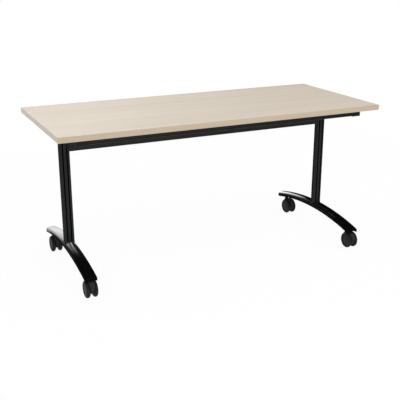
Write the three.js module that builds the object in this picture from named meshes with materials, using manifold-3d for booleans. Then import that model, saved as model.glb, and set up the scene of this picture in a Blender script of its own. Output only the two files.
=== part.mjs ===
// Flip top training table: a laminated board on two T legs with swivel casters.
// The board turns about a pivot on each column and is held flat or upright by two sprung bolts,
// which one bar under the front edge draws together.
// Millimetres, +X along the table, +Y to its back, +Z up, origin on the floor at the centre.

import * as THREE from 'three';
import { mergeVertices } from 'three/addons/utils/BufferGeometryUtils.js';
import Module from 'manifold-3d';

const wasm = await Module();
wasm.setup();

// Fits
const seat = 0.3;
const running = 0.4;

// Table top
const topLength = 1600;
const topDepth = 680;
const topThickness = 25;
const tableHeight = 735;
const edgeBand = 2;

// Columns
const legInset = 109;
const columnWidth = 51;
const columnDepth = 34.5;
const columnCorner = 15;
const fluteRadius = 2.5;
const fluteOffset = 9.6;
const columnWall = 2.2;
const portRadius = 4.2;
const tongueLength = 40;

// Feet
const footLength = 696;
const footWidth = 56;
const footRadius = 1470;
const footCrown = 6.5;
const footEdge = 19.5;
const footTipRound = 10;
const footWall = 4;
const footCorner = 9;
const footRib = 3;
const footRibPlaces = [90, 190];
const seatRise = 1;
const seatMargin = 0.8;
const seatThickness = 10;
const footBoltRadius = 3.9;
const footBoltHead = 8.5;
const footBoltHeadHeight = 6.4;
const footBoltLength = 60;

// Crossbar between the columns
const beamHeight = 50;
const beamDepth = 24;
const beamWall = 2;
const beamCorner = 4;
const beamBelowColumnTop = 4;

// Casters
const stemReach = 295;
const stemRadius = 5;
const stemCollar = 9;
const stemCollarHeight = 2;
const stemGrip = 13;
const casterBoss = 13;
const casterTrail = 25;
const wheelDiameter = 80;
const wheelWidth = 20.5;
const wheelSpacing = 33.5;
const wheelFacets = 20;
const hubWall = 1.9;
const hubDish = 1.4;
const axleRadius = 4;
const hoodReach = 34;
const hoodFloor = 20;
const neckRadius = 11;
const fenderWidth = 32;
const fenderThickness = 3;
const footGap = 9;

// Arms under the top
const armWidth = 47.5;
const armHeight = 27;
const armWall = 2.5;
const armBack = 230;
const armCapThickness = 3;
const armCapDepth = 12;

// Column heads and hinge
const pivotRadius = 6;
const headFlange = 5;
const headClearance = 1.7;
const hingeClearance = 3;
const quadrantRadius = 40;
const quadrantThickness = 14;
const quadrantDip = 10;
const bushWall = 2;
const bushFlange = 3;
const bushFlangeThickness = 1.6;
const cheekThickness = 4;
const cheekRound = 14;
const bracketLength = 68;
const bracketWeb = 4;
const pinHeadRadius = 9;
const pinHeadThickness = 2.5;
const stopArm = 26;
const stopRadius = 4;

// Locks
const boltWidth = 10;
const boltHeight = 8;
const boltLift = 6;
const boltTravel = 6;
const housingWidth = 30;
const housingWall = 14;
const springSeatWall = 4;
const springRoom = 34;
const springWire = 0.6;
const springRadius = 5.6;
const springCurls = 6;
const boltTail = 7;
const pullRodRadius = 3;

// Release bar
const barSetback = 28;
const barDepth = 12;
const barPlate = 3;
const barDrop = 25.5;
const barHeadroom = 3;
const barGroove = 1;
const barLip = 4.5;
const endBlockDrop = 2.5;
const endTongue = 24;
const endRound = 9;

// Heights and places that follow from the sizes above
const underside = tableHeight - topThickness;
const legX = topLength / 2 - legInset;
const armTop = underside - seat;
const armBottom = armTop - armHeight;
const armCeiling = armTop - armWall;
const bracketTop = armCeiling - seat;
const pivotZ = bracketTop - bracketWeb - hingeClearance - quadrantRadius;
const headTop = pivotZ - cheekRound - headClearance;
const columnTop = headTop - headFlange - seat;
const barFront = -topDepth / 2 + barSetback;
const barBack = barFront + barDepth;
const armFront = barBack + boltTravel + 2 * running;
const boltZ = armBottom + boltLift;
const innerWheel = (wheelSpacing - wheelWidth) / 2;
const hoodWidth = 2 * (innerWheel - running);
const wheelRadius = wheelDiameter / 2;
const wheelClear = wheelRadius + 2 * running;
const axleHeight = wheelRadius * Math.cos(Math.PI / wheelFacets);
const casterSeat = axleHeight + wheelClear + fenderThickness + footGap;
const footDrop = (y) => footRadius - Math.sqrt(footRadius ** 2 - y ** 2);
const footCrownTop = casterSeat + footEdge + footCrown + footDrop(stemReach);
const columnBase = footCrownTop + seatRise;

const black = (roughness, metalness) => new THREE.MeshStandardMaterial({
  color: 0x17181a, roughness, metalness });
const finishes = {
  laminate: () => new THREE.MeshStandardMaterial({ color: 0xd7cbbb, roughness: 0.55, metalness: 0 }),
  edge: () => new THREE.MeshStandardMaterial({ color: 0xc7b8a5, roughness: 0.55, metalness: 0 }),
  coated: () => black(0.45, 0.4),
  gloss: () => black(0.15, 0.3),
  plastic: () => black(0.6, 0),
  tread: () => new THREE.MeshStandardMaterial({ color: 0x2b2c2e, roughness: 0.7, metalness: 0 }),
  steel: () => new THREE.MeshStandardMaterial({ color: 0xb9bbbd, roughness: 0.3, metalness: 1 }),
  bush: () => new THREE.MeshStandardMaterial({ color: 0xdcdcd6, roughness: 0.6, metalness: 0 }),
};

// Solids

function solidOf(geometry) {
  const bare = geometry.clone();
  bare.deleteAttribute('normal');
  bare.deleteAttribute('uv');
  const merged = mergeVertices(bare, 1e-4);
  const corners = merged.index.array;
  const kept = [];
  for (let i = 0; i < corners.length; i += 3) {
    const [a, b, c] = corners.slice(i, i + 3);
    if (a !== b && b !== c && c !== a) kept.push(a, b, c);
  }
  return new wasm.Manifold(new wasm.Mesh({
    numProp: 3,
    vertProperties: new Float32Array(merged.attributes.position.array),
    triVerts: new Uint32Array(kept),
  }));
}

function geometryOf(solid) {
  const mesh = solid.getMesh();
  const geometry = new THREE.BufferGeometry();
  geometry.setAttribute('position', new THREE.BufferAttribute(mesh.vertProperties, 3));
  geometry.setIndex(new THREE.BufferAttribute(mesh.triVerts, 1));
  geometry.computeVertexNormals();
  return geometry;
}

function join(...geometries) {
  return geometryOf(geometries.map(solidOf).reduce((whole, next) => whole.add(next)));
}

function cut(geometry, ...tools) {
  return geometryOf(tools.map(solidOf).reduce((whole, tool) => whole.subtract(tool), solidOf(geometry)));
}

function common(geometry, other) {
  return geometryOf(solidOf(geometry).intersect(solidOf(other)));
}

// Shapes in a plane, and their sweeps along the three axes

function disc(x, y, radius) {
  const shape = new THREE.Shape();
  shape.absarc(x, y, radius, 0, 2 * Math.PI);
  return shape;
}

function roundedBox(x0, y0, x1, y1, radius) {
  const shape = new THREE.Shape();
  shape.absarc(x1 - radius, y1 - radius, radius, 0, Math.PI / 2);
  shape.absarc(x0 + radius, y1 - radius, radius, Math.PI / 2, Math.PI);
  shape.absarc(x0 + radius, y0 + radius, radius, Math.PI, 1.5 * Math.PI);
  shape.absarc(x1 - radius, y0 + radius, radius, 1.5 * Math.PI, 2 * Math.PI);
  shape.closePath();
  return shape;
}

function polygon(...points) {
  return new THREE.Shape(points.map(([x, y]) => new THREE.Vector2(x, y)));
}

function rectangle(x0, y0, x1, y1) {
  return polygon([x0, y0], [x1, y0], [x1, y1], [x0, y1]);
}

const axisX = new THREE.Vector3(1, 0, 0);
const axisY = new THREE.Vector3(0, 1, 0);
const axisZ = new THREE.Vector3(0, 0, 1);

function extrude(shape, depth, curveSegments) {
  return new THREE.ExtrudeGeometry(shape, { depth, curveSegments, steps: 1, bevelEnabled: false });
}

// The shape is drawn in Y and Z.
function sweepX(shape, from, to, curveSegments = 8) {
  const turn = new THREE.Matrix4().makeBasis(axisY, axisZ, axisX);
  return extrude(shape, to - from, curveSegments).applyMatrix4(turn).translate(from, 0, 0);
}

// The shape is drawn in X and Z.
function sweepY(shape, from, to, curveSegments = 8) {
  const turn = new THREE.Matrix4().makeBasis(axisX, axisZ, axisY.clone().negate());
  return extrude(shape, to - from, curveSegments).applyMatrix4(turn).translate(0, to, 0);
}

// The shape is drawn in X and Y.
function sweepZ(shape, from, to, curveSegments = 8) {
  return extrude(shape, to - from, curveSegments).translate(0, 0, from);
}

function block(x0, x1, y0, y1, z0, z1) {
  return sweepZ(rectangle(x0, y0, x1, y1), z0, z1);
}

// A turned piece: profile points are [radius, distance along the axis].
function turned(profile, facets, towards) {
  const points = profile.map(([radius, along]) => new THREE.Vector2(radius, along));
  const geometry = new THREE.LatheGeometry(points, facets, Math.PI / facets);
  const turn = new THREE.Quaternion().setFromUnitVectors(axisY, towards);
  return geometryOf(solidOf(geometry.applyQuaternion(turn)));
}

function addPiece(group, name, geometry, material) {
  const mesh = new THREE.Mesh(geometry, material);
  mesh.name = name;
  group.add(mesh);
}

// Table top: a board with a band glued on each edge.
function addTop(group) {
  const x = topLength / 2;
  const y = topDepth / 2;
  const boardX = x - edgeBand;
  const boardY = y - edgeBand;
  const slab = (x0, x1, y0, y1) => block(x0, x1, y0, y1, underside, tableHeight);
  addPiece(group, 'table_top', slab(-boardX, boardX, -boardY, boardY), finishes.laminate());
  addPiece(group, 'edge_band_front', slab(-x, x, -y, -boardY), finishes.edge());
  addPiece(group, 'edge_band_back', slab(-x, x, boardY, y), finishes.edge());
  addPiece(group, 'edge_band_left', slab(-x, -boardX, -boardY, boardY), finishes.edge());
  addPiece(group, 'edge_band_right', slab(boardX, x, -boardY, boardY), finishes.edge());
}

// Column: an oval extrusion with a screw port, two chambers and vertical flutes.
function columnOutline(grow) {
  const x = columnWidth / 2 + grow;
  const y = columnDepth / 2 + grow;
  return roundedBox(-x, -y, x, y, columnCorner + grow);
}

function chamberOutlines(shrink) {
  const inner = portRadius + columnWall + shrink;
  const outer = columnWidth / 2 - fluteRadius - columnWall - shrink;
  const y = columnDepth / 2 - fluteRadius - columnWall - shrink;
  const corner = (outer - inner) / 3;
  return [-1, 1].map((side) => roundedBox(
    Math.min(side * inner, side * outer), -y, Math.max(side * inner, side * outer), y, corner));
}

function column() {
  const bottom = columnBase + seat;
  const flutes = [disc(-columnWidth / 2, 0, fluteRadius), disc(columnWidth / 2, 0, fluteRadius)];
  for (const side of [-1, 1]) {
    flutes.push(disc(-fluteOffset, side * columnDepth / 2, fluteRadius));
    flutes.push(disc(fluteOffset, side * columnDepth / 2, fluteRadius));
  }
  return cut(
    sweepZ(columnOutline(0), bottom, columnTop, 5),
    ...flutes.map((flute) => sweepZ(flute, bottom - 1, columnTop + 1, 4)),
    sweepZ(disc(0, 0, portRadius), bottom - 1, columnTop + 1, 5),
    ...chamberOutlines(0).map((hole) => sweepZ(hole, bottom - 1, columnTop + 1, 3)));
}

// Foot: an arched, crowned shell, open below, with ribs and bosses.
class FootArc extends THREE.Curve {
  constructor(halfLength) {
    super();
    this.halfAngle = Math.asin(halfLength / footRadius);
  }

  getPoint(t, target = new THREE.Vector3()) {
    const angle = (2 * t - 1) * this.halfAngle;
    const centre = footCrownTop - footRadius;
    return target.set(0, footRadius * Math.sin(angle), centre + footRadius * Math.cos(angle));
  }
}

// Across the foot: straight sides under a crown; heights are below the crown's top.
function footSection(halfWidth, crownTop, bottom) {
  const sag = footCrown * (halfWidth / (footWidth / 2)) ** 2;
  const crownRadius = (halfWidth ** 2 + sag ** 2) / (2 * sag);
  const half = Math.asin(halfWidth / crownRadius);
  const shape = new THREE.Shape();
  shape.moveTo(halfWidth, bottom);
  shape.absarc(0, crownTop - crownRadius, crownRadius, Math.PI / 2 - half, Math.PI / 2 + half);
  shape.lineTo(-halfWidth, bottom);
  shape.closePath();
  return shape;
}

function footSweep(halfWidth, crownTop, bottom, halfLength, steps) {
  return new THREE.ExtrudeGeometry(footSection(halfWidth, crownTop, bottom), {
    steps, curveSegments: 3, bevelEnabled: false, extrudePath: new FootArc(halfLength) });
}

// From the side: two arcs about one centre, with upright ends rounded below.
function footSide() {
  const y = footLength / 2;
  const centre = footCrownTop - footRadius;
  const under = footRadius - footCrown - footEdge;
  const turnIn = y - footTipRound;
  const low = centre + Math.sqrt(under ** 2 - turnIn ** 2) + footTipRound;
  const half = Math.asin(turnIn / under);
  const shape = new THREE.Shape();
  shape.moveTo(y, columnBase);
  shape.lineTo(-y, columnBase);
  shape.absarc(-turnIn, low, footTipRound, Math.PI, 1.5 * Math.PI);
  shape.absarc(0, centre, under, Math.PI / 2 + half, Math.PI / 2 - half, true);
  shape.absarc(turnIn, low, footTipRound, 1.5 * Math.PI, 2 * Math.PI);
  shape.closePath();
  return shape;
}

function foot() {
  const halfWidth = footWidth / 2;
  const halfLength = footLength / 2;
  const depth = footCrown + footEdge;
  const plan = roundedBox(-halfWidth, -halfLength, halfWidth, halfLength, footCorner);
  const crowned = footSweep(halfWidth, 0, -2 * depth, halfLength + depth, 12);
  const outer = common(
    common(crowned, sweepX(footSide(), -halfWidth - 1, halfWidth + 1, 5)),
    sweepZ(plan, 0, columnBase + 1, 3));
  const hollow = footSweep(halfWidth - footWall, -footWall, -2 * depth, halfLength - footWall, 8);
  const pad = sweepZ(columnOutline(seatMargin), columnBase - seatThickness, columnBase, 3);
  const ends = [-1, 1].map((end) => end * stemReach);
  const ribs = [block(-footRib / 2, footRib / 2, -halfLength, halfLength, 0, columnBase)];
  for (const place of footRibPlaces.flatMap((y) => [-y, y])) {
    ribs.push(block(
      -halfWidth, halfWidth, place - footRib / 2, place + footRib / 2, 0, columnBase));
  }
  const bosses = ends.map((y) => sweepZ(disc(0, y, casterBoss), 0, columnBase, 5));
  const shell = cut(outer, cut(hollow, pad, ...ribs, ...bosses));
  const tongues = chamberOutlines(seat).map((outline) => sweepZ(
    outline, columnBase - 1, columnBase + tongueLength, 2));
  const seats = ends.map((y) => sweepZ(
    disc(0, y, casterBoss - 1), casterSeat, casterSeat + footEdge, 5));
  const stemHoles = ends.map((y) => sweepZ(
    disc(0, y, stemRadius + seat), casterSeat - footTipRound, casterSeat + stemGrip + seat, 5));
  const underSeats = ends.map((y) => sweepZ(
    disc(0, y, casterBoss + 1), casterSeat - footTipRound, casterSeat, 5));
  return cut(
    join(shell, pad, ...tongues, ...seats),
    ...stemHoles,
    ...underSeats,
    sweepZ(disc(0, 0, footBoltRadius + seat), columnBase - 2 * seatThickness, columnBase + 1, 5),
    sweepZ(disc(0, 0, footBoltHead + 2), columnBase - 3 * seatThickness, columnBase - seatThickness, 5));
}

function footBolt() {
  const head = columnBase - seatThickness - seat;
  return turned([
    [0, head - footBoltHeadHeight], [footBoltHead, head - footBoltHeadHeight], [footBoltHead, head],
    [footBoltRadius, head], [footBoltRadius, head + footBoltLength], [0, head + footBoltLength],
  ], 10, axisZ);
}

// Crossbar: a rounded tube, its ends shaped to the columns.
function crossbar() {
  const top = columnTop - beamBelowColumnTop;
  const y = beamDepth / 2;
  const tube = roundedBox(-y, top - beamHeight, y, top, beamCorner);
  tube.holes.push(roundedBox(
    -y + beamWall, top - beamHeight + beamWall, y - beamWall, top - beamWall, beamCorner - beamWall));
  const columns = [-1, 1].map((side) => sweepZ(
    columnOutline(seat), columnBase, columnTop, 5).translate(side * legX, 0, 0));
  return cut(sweepX(tube, -legX, legX, 2), ...columns);
}

// Column head: a flange and two tongues on the column, and a quadrant plate with the pivot hole,
// an arc slot for the stop pin and a notch for the lock bolt at each end of the turn.
function turnedBy(y, z, quarterTurns) {
  return quarterTurns ? [z, -y] : [y, z];
}

function columnHead() {
  const flange = sweepZ(columnOutline(0), columnTop + seat, headTop, 5);
  const tongues = chamberOutlines(seat).map((outline) => sweepZ(
    outline, columnTop - tongueLength, columnTop + seat + 1, 2));
  const foot = headTop - headFlange / 2 - pivotZ;
  const dip = Math.asin(quadrantDip / quadrantRadius);
  const plate = new THREE.Shape();
  plate.moveTo(columnDepth / 2 - 1, foot);
  plate.absarc(0, 0, quadrantRadius, -dip, Math.PI + dip);
  plate.lineTo(1 - columnDepth / 2, foot);
  plate.closePath();
  const slot = new THREE.Path();
  const slack = Math.asin(seat / stopArm);
  slot.absarc(0, 0, stopArm + stopRadius + seat, Math.PI / 2 - slack, Math.PI + slack);
  slot.absarc(
    -stopArm * Math.cos(slack), -stopArm * Math.sin(slack), stopRadius + seat,
    Math.PI + slack, 2 * Math.PI + slack);
  slot.absarc(0, 0, stopArm - stopRadius - seat, Math.PI + slack, Math.PI / 2 - slack, true);
  slot.absarc(
    stopArm * Math.sin(slack), stopArm * Math.cos(slack), stopRadius + seat,
    1.5 * Math.PI - slack, 2.5 * Math.PI - slack);
  plate.holes.push(disc(0, 0, pivotRadius + seat), slot);
  const half = quadrantThickness / 2;
  const quadrant = sweepX(plate, -half, half, 6).translate(0, 0, pivotZ);
  const notches = [0, 1].map((turns) => {
    const corners = noseOutline(running, boltTravel + running);
    const outline = polygon(...corners.map(([y, z]) => turnedBy(y, z, turns)));
    return sweepX(outline, -half - 1, half + 1).translate(0, 0, pivotZ);
  });
  return cut(join(flange, ...tongues, quadrant), ...notches);
}

// The bolt's nose leans with the quadrant's rim; y and z are from the pivot.
function noseOutline(grow, forward) {
  const low = boltZ - pivotZ - boltHeight / 2;
  const high = boltZ - pivotZ + boltHeight / 2;
  const rim = (z) => -Math.sqrt((quadrantRadius + 2 * running) ** 2 - z ** 2);
  const back = -quadrantRadius - boltHeight;
  return [
    [back, low - grow], [rim(low) + forward, low - grow],
    [rim(high) + forward, high + grow], [back, high + grow],
  ];
}

// Arm: a channel, open below.
function arm() {
  const x = armWidth / 2;
  const inner = x - armWall;
  return sweepY(polygon(
    [-x, armBottom], [-inner, armBottom], [-inner, armCeiling], [inner, armCeiling],
    [inner, armBottom], [x, armBottom], [x, armTop], [-x, armTop]), armFront, armBack);
}

function armCap() {
  const x = armWidth / 2;
  const inner = x - armWall - seat;
  const start = armBack + seat;
  return join(
    sweepY(roundedBox(-x, armBottom, x, armTop, armWall), start, start + armCapThickness, 3),
    block(-inner, inner, start - armCapDepth, start + 1, armBottom + armWall, armCeiling - seat));
}

// Hinge bracket: a web under the arm and two cheeks that hang beside the quadrant.
const cheekInner = quadrantThickness / 2 + bushFlangeThickness + 2 * seat;
const cheekOuter = cheekInner + cheekThickness;

function hingeBracket() {
  const y = bracketLength / 2;
  const rise = bracketTop - pivotZ;
  const web = block(-cheekOuter, cheekOuter, -y, y, bracketTop - bracketWeb, bracketTop);
  const side = new THREE.Shape();
  side.moveTo(y, rise - 1);
  side.lineTo(-y, rise - 1);
  side.lineTo(-y, rise - 2 * bracketWeb);
  side.absarc(0, 0, cheekRound, Math.PI, 2 * Math.PI);
  side.lineTo(cheekRound, columnDepth / 2 + hingeClearance);
  side.lineTo(y, rise - 2 * bracketWeb);
  side.closePath();
  const ear = new THREE.Shape();
  ear.absarc(-stopArm, 0, 2 * stopRadius, Math.PI / 2, 1.5 * Math.PI);
  ear.lineTo(0, -2 * stopRadius);
  ear.lineTo(0, 2 * stopRadius);
  ear.closePath();
  const across = cheekOuter + 1;
  const stopHole = sweepX(disc(-stopArm, 0, stopRadius + seat), -across, across, 5);
  const pinHole = sweepX(disc(0, 0, pivotRadius + bushWall + 2 * seat), -across, across, 6);
  const cheeks = [-1, 1].flatMap((hand) => {
    const from = Math.min(hand * cheekInner, hand * cheekOuter);
    return [side, ear].map((shape) => sweepX(shape, from, from + cheekThickness, 5));
  }).map((cheek) => cheek.translate(0, 0, pivotZ));
  return cut(join(web, ...cheeks), stopHole.translate(0, 0, pivotZ), pinHole.translate(0, 0, pivotZ));
}

// Flanged bush between a cheek and the pivot pin, turned on the pivot's line.
function pivotBush(hand) {
  const bore = pivotRadius + seat;
  const outer = bore + bushWall;
  const start = quadrantThickness / 2 + seat;
  const flangeEnd = start + bushFlangeThickness;
  const end = cheekOuter + seat;
  return turned([
    [bore, start], [outer + bushFlange, start], [outer + bushFlange, flangeEnd],
    [outer, flangeEnd], [outer, end], [bore, end], [bore, start],
  ], 12, axisX.clone().multiplyScalar(hand)).translate(0, 0, pivotZ);
}

// A headed pin across the bracket.
function crossPin(radius, headRadius) {
  const end = cheekOuter + 2 * seat;
  const tip = end + pinHeadThickness;
  return turned([
    [0, -tip], [headRadius, -tip], [headRadius, -end], [radius, -end],
    [radius, end], [headRadius, end], [headRadius, tip], [0, tip],
  ], 12, axisX);
}

// Lock housing: a web under the arm, a guide wall for the bolt and a seat wall for its spring.
const guideBack = -quadrantRadius - boltHeight;
const guideFront = guideBack - housingWall;
const tailBack = guideFront - boltTravel - seat;
const tailFront = tailBack - boltTail;
const springSeat = tailFront - springRoom;

function lockHousing() {
  const x = housingWidth / 2;
  const top = bracketTop;
  const floor = armBottom + seat;
  const front = springSeat - springSeatWall;
  const web = block(-x, x, front, guideBack, top - bracketWeb, top);
  const guide = block(-x, x, guideFront, guideBack, floor, top);
  const seatWall = block(-x, x, front, springSeat, floor, top);
  const halfWidth = boltWidth / 2 + running;
  const halfHeight = boltHeight / 2 + running;
  const boltHole = block(
    -halfWidth, halfWidth, guideFront - 1, guideBack + 1, boltZ - halfHeight, boltZ + halfHeight);
  const rodHole = sweepY(disc(0, boltZ, pullRodRadius + running), front - 1, springSeat + 1);
  return cut(join(web, guide, seatWall), boltHole, rodHole);
}

function lockBolt() {
  const x = boltWidth / 2;
  const corners = noseOutline(0, 0).map(([y, z]) => [Math.max(y, tailBack - 1), z]);
  corners[0][0] = tailBack - 1;
  corners[3][0] = tailBack - 1;
  const bar = sweepX(polygon(...corners), -x, x).translate(0, 0, pivotZ);
  const tail = sweepY(disc(0, boltZ, springRadius + 2 * springWire), tailFront, tailBack, 6);
  return join(bar, tail);
}

class SpringHelix extends THREE.Curve {
  getPoint(t, target = new THREE.Vector3()) {
    const angle = t * springCurls * 2 * Math.PI;
    const start = springSeat + seat + springWire;
    const end = tailFront - seat - springWire;
    return target.set(
      springRadius * Math.cos(angle), start + t * (end - start), boltZ + springRadius * Math.sin(angle));
  }
}

function lockSpring() {
  const wire = polygon(...[0, 1, 2, 3, 4].map((i) => {
    const angle = i * 2 * Math.PI / 5;
    return [springWire * Math.cos(angle), springWire * Math.sin(angle)];
  }));
  return new THREE.ExtrudeGeometry(wire, {
    steps: springCurls * 7, bevelEnabled: false, extrudePath: new SpringHelix() });
}

function pullRod() {
  const end = barBack + endTongue + seat;
  return sweepY(disc(0, boltZ, pullRodRadius), end, tailFront - seat, 5);
}

// Release bar: a rolled strip with a groove and a lip under which the fingers pull.
function releaseBar() {
  const top = underside - barHeadroom;
  const bottom = underside - barDrop;
  const grooveTop = bottom + barLip + 2 * barGroove;
  const section = new THREE.Shape();
  section.moveTo(barFront + barPlate, top);
  section.lineTo(barFront, top);
  section.lineTo(barFront, grooveTop);
  section.lineTo(barFront + barGroove, grooveTop - barGroove);
  section.lineTo(barFront, bottom + barLip);
  section.lineTo(barFront, bottom + barPlate);
  section.absarc(barFront + barPlate, bottom + barPlate, barPlate, Math.PI, 1.5 * Math.PI);
  section.lineTo(barBack, bottom);
  section.lineTo(barBack, bottom + barPlate);
  section.lineTo(barFront + barPlate, bottom + barPlate);
  section.closePath();
  const x = legX - armWidth / 2 - seat;
  return sweepX(section, -x, x, 3);
}

// End block: carries an end of the release bar and slides in the mouth of the arm.
function barEnd(side) {
  const x = armWidth / 2;
  const top = underside - barHeadroom;
  const bottom = underside - barDrop - endBlockDrop;
  const tongueX = x - armWall - running;
  const face = sweepX(roundedBox(barFront, bottom, barBack, top, barPlate), -x, x, 3);
  const plan = new THREE.Shape();
  plan.moveTo(-side * x, barBack);
  plan.lineTo(-side * x, barFront);
  plan.absarc(
    side * (x - endRound), barFront + endRound, endRound,
    -Math.PI / 2, side > 0 ? 0 : -Math.PI, side < 0);
  plan.lineTo(side * x, barBack);
  plan.closePath();
  const tongue = block(
    -tongueX, tongueX, barBack - 1, barBack + endTongue, armBottom + 1, armCeiling - running);
  return join(common(face, sweepZ(plan, bottom - 1, top + 1, 4)), tongue);
}

// Caster pieces, about the stem's line, with the wheels trailing to the front.
function casterStem() {
  const collarTop = casterSeat - seat;
  const collarBottom = collarTop - stemCollarHeight;
  return turned([
    [0, neckFloor() + 2 * seat + 1], [stemRadius, neckFloor() + 2 * seat + 1], [stemRadius, collarBottom],
    [stemCollar, collarBottom], [stemCollar, collarTop], [stemRadius, collarTop],
    [stemRadius, casterSeat + stemGrip - seat], [0, casterSeat + stemGrip - seat],
  ], 10, axisZ);
}

// The neck starts where it clears the wheels.
function neckFloor() {
  const across = casterTrail - neckRadius;
  return axleHeight + Math.sqrt(wheelClear ** 2 - across ** 2);
}

function casterHood() {
  const half = hoodWidth / 2;
  const neckTop = casterSeat - 2 * seat - stemCollarHeight;
  const floor = neckFloor();
  const web = new THREE.Shape();
  const low = Math.asin((hoodFloor - axleHeight) / hoodReach);
  web.moveTo(neckRadius, floor + 1);
  web.lineTo(-casterTrail, floor + 1);
  web.absarc(-casterTrail, axleHeight, hoodReach, 0.75 * Math.PI, Math.PI - low);
  web.absarc(-casterTrail, axleHeight, hoodReach, low, 0);
  web.lineTo(neckRadius, axleHeight + hoodReach / 2);
  web.closePath();
  const fender = new THREE.Shape();
  fender.absarc(-casterTrail, axleHeight, wheelClear, 0.25 * Math.PI, 0.85 * Math.PI);
  fender.absarc(-casterTrail, axleHeight, wheelClear + fenderThickness, 0.85 * Math.PI, 0.25 * Math.PI, true);
  fender.closePath();
  const neck = sweepZ(disc(0, 0, neckRadius), floor, neckTop, 6);
  const rib = sweepX(polygon(
    [-casterTrail, axleHeight + hoodReach / 2], [neckRadius, axleHeight + hoodReach / 2],
    [neckRadius, floor + 1], [-casterTrail, axleHeight + wheelClear + 1]), -half, half);
  const bore = sweepZ(disc(0, 0, stemRadius + running), floor + seat + 1, neckTop + 1, 5);
  const axleHole = sweepX(disc(-casterTrail, axleHeight, axleRadius + seat), -half - 1, half + 1, 5);
  return cut(
    join(sweepX(web, -half, half, 4), sweepX(fender, -fenderWidth / 2, fenderWidth / 2, 4), neck, rib),
    bore, axleHole);
}

function casterAxle() {
  const end = innerWheel + wheelWidth - hubDish - hubWall - seat;
  return sweepX(disc(0, 0, axleRadius), -end, end, 5).translate(0, -casterTrail, axleHeight);
}

// Wheel: closed hub outside, blind bore inside, rounded tread.
function casterWheel(hand) {
  const w = wheelWidth;
  const r = wheelRadius;
  const bore = axleRadius + seat;
  const profile = [
    [0, w - hubDish - hubWall], [bore, w - hubDish - hubWall], [bore, 0], [0.66 * r, 0],
    [0.9 * r, 0.09 * w], [r, 0.34 * w], [r, 0.66 * w], [0.9 * r, 0.91 * w],
    [0.68 * r, w], [0.6 * r, w - hubDish], [0, w - hubDish],
  ];
  return turned(profile, wheelFacets, axisX.clone().multiplyScalar(hand))
    .translate(hand * innerWheel, -casterTrail, axleHeight);
}

// Assembly
const table = new THREE.Group();
addTop(table);
addPiece(table, 'crossbar', crossbar(), finishes.coated());
addPiece(table, 'release_bar', releaseBar(), finishes.coated());

for (const [sideName, side] of [['left', -1], ['right', 1]]) {
  const leg = new THREE.Group();
  leg.position.x = side * legX;
  table.add(leg);
  addPiece(leg, `column_${sideName}`, column(), finishes.coated());
  addPiece(leg, `foot_${sideName}`, foot(), finishes.gloss());
  addPiece(leg, `foot_bolt_${sideName}`, footBolt(), finishes.steel());
  addPiece(leg, `column_head_${sideName}`, columnHead(), finishes.coated());
  addPiece(leg, `arm_${sideName}`, arm(), finishes.coated());
  addPiece(leg, `arm_cap_${sideName}`, armCap(), finishes.plastic());
  addPiece(leg, `hinge_bracket_${sideName}`, hingeBracket(), finishes.coated());
  addPiece(leg, `pivot_bush_outer_${sideName}`, pivotBush(side), finishes.bush());
  addPiece(leg, `pivot_bush_inner_${sideName}`, pivotBush(-side), finishes.bush());
  const pivotPin = crossPin(pivotRadius, pinHeadRadius).translate(0, 0, pivotZ);
  addPiece(leg, `pivot_pin_${sideName}`, pivotPin, finishes.steel());
  const stopPin = crossPin(stopRadius, stopRadius + 2).translate(0, -stopArm, pivotZ);
  addPiece(leg, `stop_pin_${sideName}`, stopPin, finishes.steel());
  addPiece(leg, `lock_housing_${sideName}`, lockHousing(), finishes.plastic());
  addPiece(leg, `lock_bolt_${sideName}`, lockBolt(), finishes.steel());
  addPiece(leg, `lock_spring_${sideName}`, lockSpring(), finishes.steel());
  addPiece(leg, `pull_rod_${sideName}`, pullRod(), finishes.steel());
  addPiece(leg, `bar_end_${sideName}`, barEnd(side), finishes.plastic());

  for (const [endName, end] of [['front', -1], ['back', 1]]) {
    const caster = new THREE.Group();
    caster.position.y = end * stemReach;
    leg.add(caster);
    const place = `${endName}_${sideName}`;
    addPiece(caster, `caster_stem_${place}`, casterStem(), finishes.steel());
    addPiece(caster, `caster_hood_${place}`, casterHood(), finishes.plastic());
    addPiece(caster, `caster_axle_${place}`, casterAxle(), finishes.steel());
    addPiece(caster, `caster_wheel_${place}_outer`, casterWheel(side), finishes.tread());
    addPiece(caster, `caster_wheel_${place}_inner`, casterWheel(-side), finishes.tread());
  }
}

export default table;
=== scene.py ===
# %% [markdown]
# # A flip top training table
# The solids of the table come packed in one frame: every piece at its real size, riding on the body
# that carries it. This lesson dresses that frame. Straight pieces keep their solids and get a finish,
# and what the eye follows along a curve (columns, feet, casters) is worked out again as a smooth
# surface with numpy, in the place of its solid.

# %% Load the frame
import math

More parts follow.
